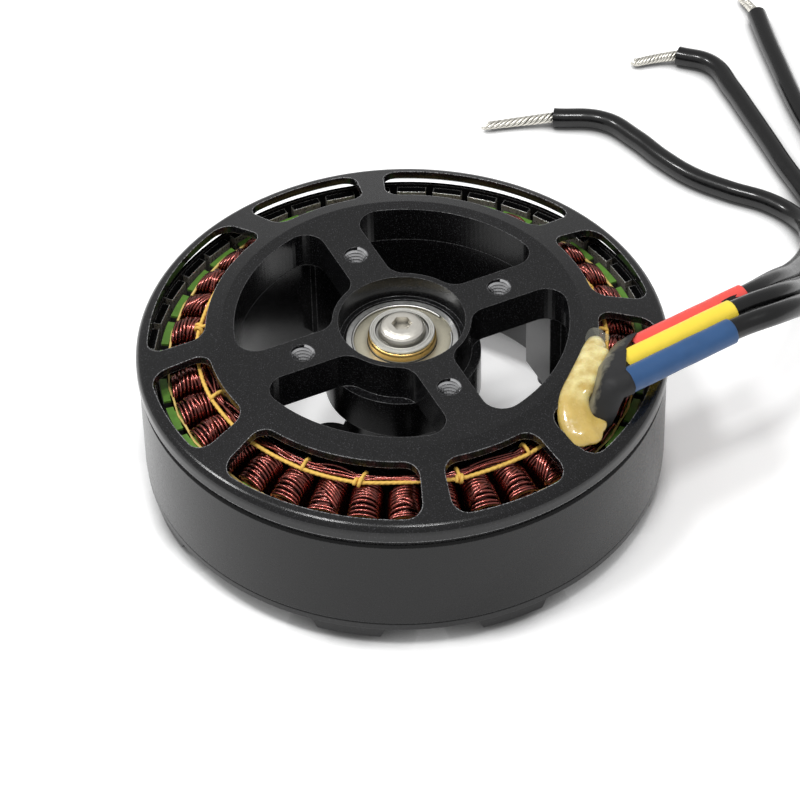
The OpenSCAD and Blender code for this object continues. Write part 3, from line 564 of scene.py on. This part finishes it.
def turn(x, half, rise, slant=0.0, rock=0.0):
    """One loop of wire round a tooth that points along +X. Slant carries it along the tooth over the head."""
    a = np.linspace(0, math.pi, 15)
    top = np.stack([x + slant * np.cos(a), half * np.cos(a) + rock * np.sin(a),
                    HEAD_TOP + rise * np.sin(a) ** 0.85], axis=1)
    b = np.linspace(math.pi, TAU, 13)
    low = np.stack([x - slant * np.cos(b), half * np.cos(b), HEAD_LOW + rise * np.sin(b)], axis=1)
    return np.vstack([top, [[x - slant, -half, HEAD_MID]], low, [[x + slant, half, HEAD_MID]]])


def head_rise(x):
    """Room above the core at x along the tooth: the heads slope down past COIL_FLAT."""
    drop = max(0.0, x - COIL_FLAT) * COIL_SLOPE / (COIL_R1 - COIL_FLAT)
    return COIL_TOP - HEAD_TOP - STRAND - drop


def core_mesh():
    """Filling under the strands, so that no light comes through them."""
    rows = []
    a = np.linspace(0, math.pi, 13)
    for x in (COIL_R0 + 0.25 * MM, COIL_FLAT, COIL_R1 - 0.3 * MM):
        half, rise = COIL_HALF - 2.6 * STRAND, head_rise(x) - 2.2 * STRAND
        at = np.full(len(a), x)
        rows.append(np.stack([at, half * np.cos(a), HEAD_TOP + rise * np.sin(a)], axis=1))
        rows.append(np.stack([at, -half * np.cos(a), HEAD_LOW - rise * np.sin(a)], axis=1))
    return np.vstack(rows), ring_faces(3, 2 * len(a)) + end_faces(3, 2 * len(a))


def coil_mesh():
    """Strands side by side over an inner layer. About half of the coils end in a bundle laid across them."""
    lean = rng.choice([-1, 1])
    tilt = lean * rng.uniform(0.0, 0.3) * MM
    bundle = rng.random() < 0.5
    on_top = LAYER if bundle else 0.15 * MM
    parts = []
    for k in range(STRANDS - 1):
        x = FIRST + PITCH * (k + 0.5)
        parts.append(tube(turn(x, COIL_HALF - STRAND - LAYER, head_rise(x) - on_top - LAYER), STRAND, 5, True))
    for k in range(STRANDS):
        x = FIRST + PITCH * k + rng.normal(0, 0.03) * MM
        x = min(max(x, FIRST + abs(tilt)), LAST - abs(tilt))
        rise = head_rise(x + abs(tilt)) - on_top + rng.normal(0, 0.035) * MM
        parts.append(tube(turn(x, COIL_HALF - STRAND, rise, tilt, rng.normal(0, 0.08) * MM), STRAND, 8, True))
    slant = -lean * (rng.uniform(1.3, 1.8) if bundle else 0.7) * MM
    start = FIRST + abs(slant) + (rng.uniform(0.0, 0.5) if bundle else rng.uniform(1.0, 5.0)) * PITCH
    for k in range(5 if bundle else 2):
        x = min(start + CROSSING_PITCH * k, LAST - abs(slant) - 0.1 * MM)
        rise = head_rise(x + 0.5 * abs(slant)) + rng.normal(0, 0.02) * MM - 0.03 * MM
        path = turn(x, COIL_HALF - STRAND + 0.05 * MM, rise, slant, rng.normal(0, 0.06) * MM)
        parts.append(tube(path, STRAND, 8, True))
    return combine(parts)


for phase, tag in enumerate("abc"):
    parts = []
    for i in range(TEETH):
        if i // 2 % 3 == phase:
            v, f = combine([coil_mesh(), core_mesh()])
            parts.append((spin(v, i * 360 / TEETH), f))
    piece(f"windings_phase_{tag}", combine(parts), "copper_enamel", nodes=[f"coils_phase_{tag}"])


# ---------------------------------------------------------------- lacing and jumpers
# Angles of the ties, those with a big knot, and the gaps between neighbours
TIES = [3, 22, 41, 60, 79, 98, 117, 136, 154, 173.6, 193.9, 208, 223.4, 243, 261.5, 277.8, 305.3, 326.2, 345]
BIG_TIES = (193.9, 277.8, 305.3)
GAPS = list(zip(TIES, TIES[1:] + [TIES[0] + 360]))
LACING_R, LACING_Z = 33.4 * MM, 26.45 * MM
CORD_R, CORD_PITCH, CORD_BOW = 0.35 * MM, 1.9 * MM, 0.3 * MM
TAIL_R, TAIL_PITCH = 0.33 * MM, 1.6 * MM
PLY_OFFSET, PLY_R = 0.16, 0.86  # shares of the cord's radius
KNOT_R, KNOT_WIRE, KNOT_PITCH = 0.44 * MM, 0.25 * MM, 0.13 * MM    # pitch for each radian of its turns
# Radius from the cord, share of the tie's lean, and level from the cord, along the tail of a tie
TAIL = ((0.05, 0.1, -0.1), (0.0, 0.15, 0.3), (-0.3, 0.3, 0.5), (-1.2, 0.7, 0.62), (-2.1, 1, 0.4), (-2.55, 1, -0.7))
# Radius and level of each jumper halfway between two ties
JUMPERS = ((31.2, 26.6), (31.95, 26.75), (32.35, 26.7), (31.5, 26.15), (32.2, 26.2), (31.1, 25.7))
JUMPER_WIRE = 0.28 * MM
PINCH_R = 32.2 * MM         # where the ties hold the jumpers


def lacing_line():
    """The cord pulled nearly straight from tie to tie."""
    points = []
    for a, b in GAPS:
        pa, pb = polar(LACING_R, a, LACING_Z), polar(LACING_R, b, LACING_Z)
        for t in np.linspace(0, 1, 24, endpoint=False):
            p = pa * (1 - t) + pb * t
            points.append(p + normed(p * np.array([1, 1, 0])) * CORD_BOW * math.sin(math.pi * t))
    p = np.array(points)
    for _ in range(3):
        p = (np.roll(p, 1, 0) + 2 * p + np.roll(p, -1, 0)) / 4
    return p


def twisted(line, radius, pitch, closed=False):
    """Two plies of cord wound round a line."""
    if closed:
        line = np.vstack([line, line[:1]])
    s = np.concatenate([[0], np.cumsum(np.linalg.norm(np.diff(line, axis=0), axis=1))])
    turns = max(1, round(s[-1] / pitch))
    u = np.linspace(0, s[-1], turns * 8, endpoint=not closed)
    p = np.stack([np.interp(u, s, line[:, k]) for k in range(3)], axis=1)
    t = tangents(p, closed)
    side = normed(np.cross(t, UP) + 1e-9)
    up = np.cross(side, t)
    parts = []
    for ply in range(2):
        a = TAU * (u / s[-1] * turns + ply / 2)
        q = p + radius * PLY_OFFSET * (np.cos(a)[:, None] * side + np.sin(a)[:, None] * up)
        parts.append(tube(q, radius * PLY_R, 6, closed))
    return combine(parts)


def tie_parts(a):
    """A tie at an angle: its tail over the jumpers, and its turns round the cord."""
    lean = rng.uniform(-1.5, 1.5)
    big = 1.25 if a in BIG_TIES else rng.uniform(0.45, 0.65)
    tail = [polar(LACING_R + r * MM, a + lean * share, LACING_Z + z * MM) for r, share, z in TAIL]
    turns = np.linspace(0, (3.4 if big > 1 else 1.7) * math.pi, 30)
    around = [polar(LACING_R, a, LACING_Z + 0.05 * MM)
              + big * KNOT_R * (math.cos(b) * polar(1, a, 0) + math.sin(b) * UP)
              + polar(1, a + 90, 0) * (b - turns[-1] / 2) * KNOT_PITCH for b in turns]
    return [twisted(smooth_path(tail, 6), TAIL_R, TAIL_PITCH), tube(np.array(around), big * KNOT_WIRE, 7)]


def jumper_mesh():
    """Wires that spread between the ties and are pinched together at them."""
    angle = np.arange(0, 360, 1.25)
    way = np.zeros_like(angle)      # from 0 at one tie to 1 at the next
    for a, b in GAPS:
        inside = (angle - a) % 360 < (b - a)
        way[inside] = ((angle[inside] - a) % 360) / (b - a)
    apart = np.sin(math.pi * way)
    parts = []
    for k, (r, z) in enumerate(JUMPERS):
        sway = 0.34 * MM * np.sin(np.radians(angle) * (9 + 2 * k) + 1.7 * k)
        lift = 0.12 * MM * np.sin(np.radians(angle) * (11 - k) + k)
        pinch_r, pinch_z = PINCH_R + (k % 3 - 1) * 0.36 * MM, LACING_Z + (k // 3 - 0.5) * 0.45 * MM
        path = polar(pinch_r * (1 - apart) + (r * MM + sway) * apart, angle,
                     pinch_z * (1 - apart) + (z * MM + lift) * apart)
        parts.append(tube(path, JUMPER_WIRE, 6, True))
    return combine(parts)


lacing = [twisted(lacing_line(), CORD_R, CORD_PITCH, closed=True)]
for a in TIES:
    lacing += tie_parts(a)
piece("lacing_with_ties", combine(lacing), "lacing_yellow", nodes=["lacing_cord"])
piece("jumper_wires", jumper_mesh(), "copper_enamel", nodes=["phase_jumpers"])


# ---------------------------------------------------------------- slot paper
PAPER_R = 38.52             # in millimetres, as the waves below are
PAPER_HALF = 0.17 * MM      # half of its thickness


def paper_mesh(low, high):
    """Wavy edge of the slot paper between the coils and the tooth tips."""
    n = 720
    a = np.linspace(0, 360, n, endpoint=False)
    r = (PAPER_R - 0.22 * np.abs(np.sin(np.radians(a) * TEETH / 2))) * MM
    lift = (0.12 * np.sin(np.radians(a) * TEETH) + 0.06 * np.sin(np.radians(a) * 7)
            + 0.2 * np.cos(np.radians(a - 110))) * MM
    edge = high - 0.2 * MM + lift
    rows = [polar(r + PAPER_HALF, a, low), polar(r + PAPER_HALF, a, edge), polar(r - PAPER_HALF, a, edge),
            polar(r - PAPER_HALF, a, low)]
    return np.vstack(rows), ring_faces(len(rows), n, closed=True)


piece("upper_paper_edge", paper_mesh(22.7 * MM, 23.3 * MM), "slot_paper", nodes=["upper_slot_liner"])
v, f = paper_mesh(-9.9 * MM, -9.0 * MM)
piece("lower_paper_edge", (v * np.array([1, -1, -1]), f), "slot_paper", nodes=["lower_slot_liner"])


# ---------------------------------------------------------------- threads in the mounting holes
HOLE_CIRCLE_R, HOLE_R = 17.6 * MM, 1.95 * MM
THREAD_Z0, THREAD_Z1 = 24.9 * MM, 30.7 * MM
THREAD_PITCH, THREAD_DEPTH = 0.7 * MM, 0.28 * MM
THREAD_STEPS = 28           # for each turn


def thread_mesh(angle):
    """The ridge of the thread in the hole at an angle."""
    x, y = polar(HOLE_CIRCLE_R, angle, 0)[:2]
    turns = (THREAD_Z1 - THREAD_Z0) / THREAD_PITCH
    n = int(turns * THREAD_STEPS)
    s = np.linspace(0, 1, n)
    a = TAU * turns * s
    z = THREAD_Z0 + (THREAD_Z1 - THREAD_Z0) * s
    profile = [(0.0, -0.42 * THREAD_PITCH), (THREAD_DEPTH, 0.0), (0.0, 0.42 * THREAD_PITCH)]
    verts = np.vstack([np.stack([x + (HOLE_R - d) * np.cos(a), y + (HOLE_R - d) * np.sin(a), z + h], axis=1)
                       for d, h in profile])
    faces = [(k * n + i, k * n + i + 1, (k + 1) % 3 * n + i + 1, (k + 1) % 3 * n + i)
             for k in range(3) for i in range(n - 1)]
    return verts, faces + [(0, n, 2 * n), (3 * n - 1, 2 * n - 1, n - 1)]


ridges = combine([thread_mesh(angle) for angle in (45, 135, 225, 315)])
threads = piece("hole_threads", ridges, "anodised_black", smooth=False)
threads.data.materials[0] = metal("thread_bright", srgb(228, 228, 230), 0.22)


# ---------------------------------------------------------------- wrap and glue
WRAP_ROOTS = np.array([[34.7, 3.4, 27.6], [34.6, -2.5, 27.2], [36.0, -8.6, 27.4]]) * MM
WRAP_R = 2.3 * MM
LEAD_WAY = normed(np.array([0.6, 0.8, 0.0]))    # direction in which the leads come out
BEND = 0.55                                     # share of the turn, from upright to LEAD_WAY, made below the bend


def wrap_mesh():
    """Shrink wrap that rises out of the window and closes round the three leads."""
    d = LEAD_WAY
    ends = np.array([RED[0], YELLOW[0], BLUE[0]]) * MM + (GRIP + 0.4 * MM) * d
    bends = ends - 2.6 * MM * d + np.array([0, 0, 0.1 * MM])
    # Each ring has three centres, a radius, and the share of the turn
    rows = [(WRAP_ROOTS * (1 - f) + bends * f, WRAP_R, f * BEND) for f in (0.0, 0.35, 0.7, 1.0)]
    rows += [(bends * (1 - f) + ends * f, WRAP_R, BEND + (1 - BEND) * f) for f in (0.3, 0.6, 0.85, 0.97, 1.0)]
    rows += [(ends, 2.2 * MM, 1.0), (ends - 0.8 * MM * d, 2.0 * MM, 1.0)]
    cols, verts = 72, []
    for i, (c, r, t) in enumerate(rows):
        along = normed(np.array([0.15, 0.1, 1.0]) * (1 - t) + d * t)
        wide = normed((c[0] - c[2]) - along * np.dot(c[0] - c[2], along))
        thick = np.cross(along, wide)
        if thick[2] < 0:
            thick = -thick
        for u in np.arange(cols) * TAU / cols:
            n = math.cos(u) * wide + math.sin(u) * thick
            crease = 1.0
            if i < len(rows) - 2:
                crease += (0.035 * math.sin(3 * u + 1.3 * i) * math.sin(0.9 * i + 0.4)
                           + 0.02 * math.sin(7 * u + 2.1 * i))
            verts.append(c[int(np.argmax(c @ n))] + r * crease * n)
    return np.array(verts), ring_faces(len(rows), cols) + end_faces(len(rows), cols)


def blob(name, balls, voxel, nodes=(), relax=12):
    """Flattened balls run together into one soft lump of glue."""
    parts = []
    for (x, y, z), r, flat in balls:
        bpy.ops.mesh.primitive_ico_sphere_add(subdivisions=3, radius=r * MM, location=(x * MM, y * MM, z * MM))
        ball = bpy.context.object
        ball.scale = (1, 1, flat)
        bpy.context.view_layer.update()
        m = np.array(ball.matrix_world)
        verts = np.array([v.co for v in ball.data.vertices]) @ m[:3, :3].T + m[:3, 3]
        parts.append((verts, [tuple(p.vertices) for p in ball.data.polygons]))
        bpy.data.objects.remove(ball)
    out = piece(name, combine(parts), "glue_cream", nodes=nodes)
    mod = out.modifiers.new("remesh", "REMESH")
    mod.mode, mod.voxel_size, mod.use_smooth_shade = "VOXEL", voxel, True
    mod = out.modifiers.new("smooth", "SMOOTH")
    mod.iterations, mod.factor = relax, 0.6
    done = bpy.data.meshes.new_from_object(out.evaluated_get(bpy.context.evaluated_depsgraph_get()))
    out.modifiers.clear()
    out.data = done
    out.data.polygons.foreach_set("use_smooth", [True] * len(done.polygons))
    return out


# Centre, radius and flatness in millimetres of the bead, from its thin end down into the drop, of the strip of
# glue against the wrap, of the drop's lobes, and of the clear film at the thin end
BEAD = np.array([[31.1, 5.6, 30.3, 1.5, 0.42], [31.6, 3.6, 30.55, 2.1, 0.5], [31.9, 0.5, 30.65, 2.35, 0.54],
                 [31.85, -3.0, 30.65, 2.4, 0.54], [31.75, -6.5, 30.45, 2.45, 0.54], [32.0, -8.8, 30.0, 2.6, 0.54],
                 [33.0, -10.8, 29.2, 3.0, 0.5], [34.2, -12.3, 28.5, 3.2, 0.48]])
STRIP = [((33.3, y, 31.0), 1.25, 0.8) for y in np.linspace(2.6, -6.4, 12)]
LOBES = [((36.0, -10.8, 28.4), 2.3, 0.5), ((36.2, -13.0, 28.1), 2.1, 0.5), ((34.8, -14.2, 28.0), 1.9, 0.5)]
FILM = [((30.6, 7.2, 30.6), 1.5, 0.16), ((30.9, 6.0, 30.6), 1.9, 0.2), ((32.0, 7.0, 30.3), 1.2, 0.2)]

piece("lead_wrap_folded", wrap_mesh(), "wrap_black", nodes=["lead_wrap"])
bead = [((x, y, z), r, flat) for x, y, z, r, flat in smooth_path(BEAD, 5)]
blob("glue_bead_set", bead + STRIP + LOBES, 0.3 * MM, nodes=["glue_bead"])
film = blob("glue_film", FILM, 0.16 * MM, relax=4)
film.data.materials[0] = clear_film("glue_film", srgb(160, 160, 146))


# ---------------------------------------------------------------- floor and light
FLOOR_HALF = 3
FLOOR_GLOW = 0.3            # makes the lit floor pure white for the camera and in reflections
CONTACT = 5.5 * MM          # reach of the painted contact shadow on the floor
SKY = 0.54
LIGHT_SIZE = 0.12
LIGHT_AIM = Vector((0, 0, 0.02))
LIGHTS = {"left_light": ((-0.52, -0.07, 0.72), 1.8), "middle_light": ((-0.20, -0.20, 0.86), 2.0),
          "right_light": ((0.12, -0.17, 0.87), 2.0)}


def floor_piece():
    """White floor, with a painted contact shadow right under the motor and the leads."""
    corners = [(-FLOOR_HALF, -FLOOR_HALF, 0), (FLOOR_HALF, -FLOOR_HALF, 0), (FLOOR_HALF, FLOOR_HALF, 0),
               (-FLOOR_HALF, FLOOR_HALF, 0)]
    mesh = bpy.data.meshes.new("floor")
    mesh.from_pydata(corners, [], [(0, 1, 2, 3)])
    s = Shader("floor_white", (1, 1, 1), 0.9, specular=0.0)
    # Painted contact shadow: colour and glow darken where the motor is close.
    shade = s.remap(s.open_sky(CONTACT, samples=8, local=False), 0.3, 0.8, 0.12, 0.95)
    s.link(shade, "Base Color")
    s.link(shade, "Emission Color")
    ray = s.node("ShaderNodeLightPath").outputs
    seen = s.math("MAXIMUM", ray["Is Camera Ray"], ray["Is Glossy Ray"])
    seen = s.math("MAXIMUM", seen, ray["Is Transmission Ray"])
    s.link(s.math("MULTIPLY", seen, FLOOR_GLOW), "Emission Strength")
    mesh.materials.append(s.mat)
    ob = bpy.data.objects.new("floor", mesh)
    bpy.context.scene.collection.objects.link(ob)


floor_piece()
for name, (at, watts) in LIGHTS.items():
    data = bpy.data.lights.new(name, "AREA")
    data.size = LIGHT_SIZE
    data.energy = watts
    ob = bpy.data.objects.new(name, data)
    bpy.context.scene.collection.objects.link(ob)
    ob.location = at
    ob.rotation_euler = (LIGHT_AIM - Vector(at)).to_track_quat("-Z", "Y").to_euler()
world = bpy.data.worlds.new("studio")
bpy.context.scene.world = world
world.use_nodes = True
sky = world.node_tree.nodes["Background"].inputs
sky["Color"].default_value = (1, 1, 1, 1)
sky["Strength"].default_value = SKY

bpy.context.scene.view_settings.view_transform = "Standard"
